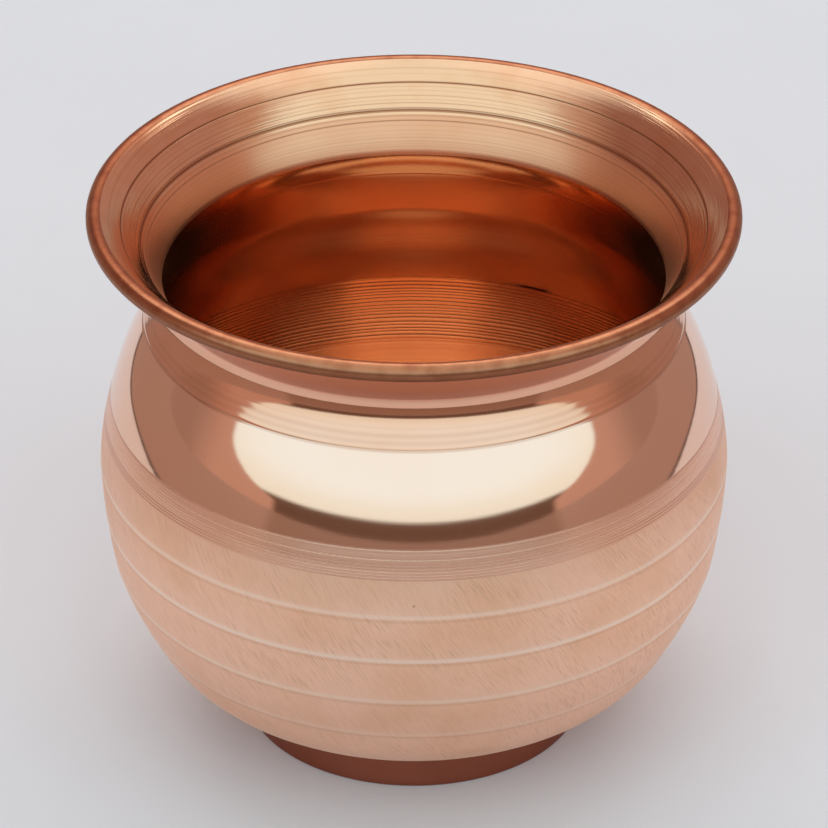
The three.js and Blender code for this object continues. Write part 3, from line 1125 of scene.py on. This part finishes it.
# A painted shadow line round the edge of the pale circle
edge_shadow_start = fade(tree, far, CIRCLE_RADIUS - EDGE_SHADOW_WIDTH - EDGE_SHADOW_FADE, CIRCLE_RADIUS - EDGE_SHADOW_WIDTH)
beyond = fade(tree, far, CIRCLE_RADIUS, CIRCLE_RADIUS + EDGE_SHADOW_FADE)
with_edge_shadow = blend(tree, edge_shadow_start, pale, EDGE_SHADOW_COLOUR)
floor_colour = blend(tree, beyond, with_edge_shadow, ground)
tree.links.new(floor_colour, tree.nodes["Principled BSDF"].inputs["Base Color"])
tree.nodes["Principled BSDF"].inputs["Roughness"].default_value = FLOOR_ROUGHNESS
floor_mesh.materials.append(whitewash)

# %% Colours of the light all round
SKY_HORIZON = rgba(0.95, 1.22, 1.24)
SKY_LOW = rgba(0.99, 1.38, 1.56)
SKY_HIGH = rgba(0.92, 0.98, 0.95)
OVERHEAD = rgba(1.05, 1.05, 1.05)
WALL_FOOT = rgba(0.36, 0.25, 0.21)
WALL_LEFT = rgba(0.29, 0.145, 0.12)
WALL_RIGHT = rgba(0.42, 0.24, 0.21)
WALL_NEAR_SKY = rgba(0.55, 0.38, 0.315)
SKYLINE = rgba(0.15, 0.095, 0.07)
BACK_WARM = rgba(0.85, 0.46, 0.34)
BACK_SKY = rgba(2.0, 2.0, 1.95)

# %% [markdown]
# ## Where each colour lies
# A direction is told by its rise, which is 0 level and 1 straight up, and by its
# frontness. Most borders below are two values of rise between which one colour
# fades into the next. Three borders lean: their place or softness in frontness
# changes with the rise, so they hold two values of rise and the two values of
# frontness that go with them.

# %% Borders of the light
SKYLINE_RISE = (0.055, 0.085)
WALL_FOOT_RISE = (0.08, 0.20)
LOW_SKY_RISE = (0.10, 0.27)
HIGH_SKY_RISE = (0.30, 0.75)
OVERHEAD_RISE = (0.70, 0.92)
BACK_RISE = (0.38, 0.52)
BACK_BRIGHT_RISE = (0.58, 0.74)
BACK_END_RISE = (0.84, 0.94)
LEFT_TO_RIGHT = (-0.3, 0.3)
WALL_TO_SKY = (-0.1, 0.25)
SIDE_EDGE = (0.165, 0.04, 0.25, 0.60)
SIDE_SOFT = (0.25, 0.85, 0.05, 0.45)
BACK_EDGE = (0.52, 0.70, -0.80, -0.54)
BACK_SOFT = 0.12

# %% Soft studio light all round
world = bpy.data.worlds.new("soft_studio")
scene.world = world
world.use_nodes = True
tree = world.node_tree
direction = node(tree, "ShaderNodeTexCoord").outputs["Generated"]
frontness, rise, _ = frontness_of(tree, direction)
sideways = node(tree, "ShaderNodeSeparateXYZ", {0: direction}).outputs["X"]
side_wall = blend(tree, fade(tree, sideways, *LEFT_TO_RIGHT), WALL_LEFT, WALL_RIGHT)
side_wall = blend(tree, fade(tree, rise, *WALL_FOOT_RISE), WALL_FOOT, side_wall)
wall = blend(tree, fade(tree, frontness, *WALL_TO_SKY), side_wall, WALL_NEAR_SKY)
surround = blend(tree, fade(tree, rise, *OVERHEAD_RISE), wall, OVERHEAD)

back_sky = blend(tree, fade(tree, rise, *BACK_BRIGHT_RISE), BACK_WARM, BACK_SKY)
back_sky = blend(tree, fade(tree, rise, *BACK_END_RISE), back_sky, OVERHEAD)
back_edge = ramp(tree, rise, *BACK_EDGE)
open_back = fade(tree, frontness, back_edge, calc(tree, "SUBTRACT", back_edge, BACK_SOFT))
back_share = calc(tree, "MULTIPLY", open_back, fade(tree, rise, *BACK_RISE))
surround = blend(tree, back_share, surround, back_sky)

low_sky = blend(tree, fade(tree, rise, *LOW_SKY_RISE), SKY_HORIZON, SKY_LOW)
sky = blend(tree, fade(tree, rise, *HIGH_SKY_RISE), low_sky, SKY_HIGH)
front_view = blend(tree, fade(tree, rise, *SKYLINE_RISE), SKYLINE, sky)
side_edge = ramp(tree, rise, *SIDE_EDGE)
side_far = calc(tree, "ADD", side_edge, ramp(tree, rise, *SIDE_SOFT))
light = blend(tree, fade(tree, frontness, side_edge, side_far), surround, front_view)
tree.links.new(light, tree.nodes["Background"].inputs["Color"])
tree.nodes["Background"].inputs["Strength"].default_value = 1.0

# %% Camera at the photograph's angle
CAMERA_DISTANCE = 0.900
CAMERA_ELEVATION = 28.9
CAMERA_PITCH = 30.87
LENS = 256.9
SENSOR_WIDTH = 36
CLIP_START = 0.05
AIM_HEIGHT = 0.0878
aim = Vector((0, 0, AIM_HEIGHT))
lift = math.radians(CAMERA_ELEVATION)
camera_data = bpy.data.cameras.new("camera")
camera_data.lens = LENS
camera_data.sensor_width = SENSOR_WIDTH
camera_data.clip_start = CLIP_START
camera = bpy.data.objects.new("camera", camera_data)
camera.location = aim + CAMERA_DISTANCE * Vector((0, -math.cos(lift), math.sin(lift)))
camera.rotation_euler = (math.radians(90 - CAMERA_PITCH), 0, 0)
scene.collection.objects.link(camera)
scene.camera = camera
scene.view_settings.view_transform = "Standard"
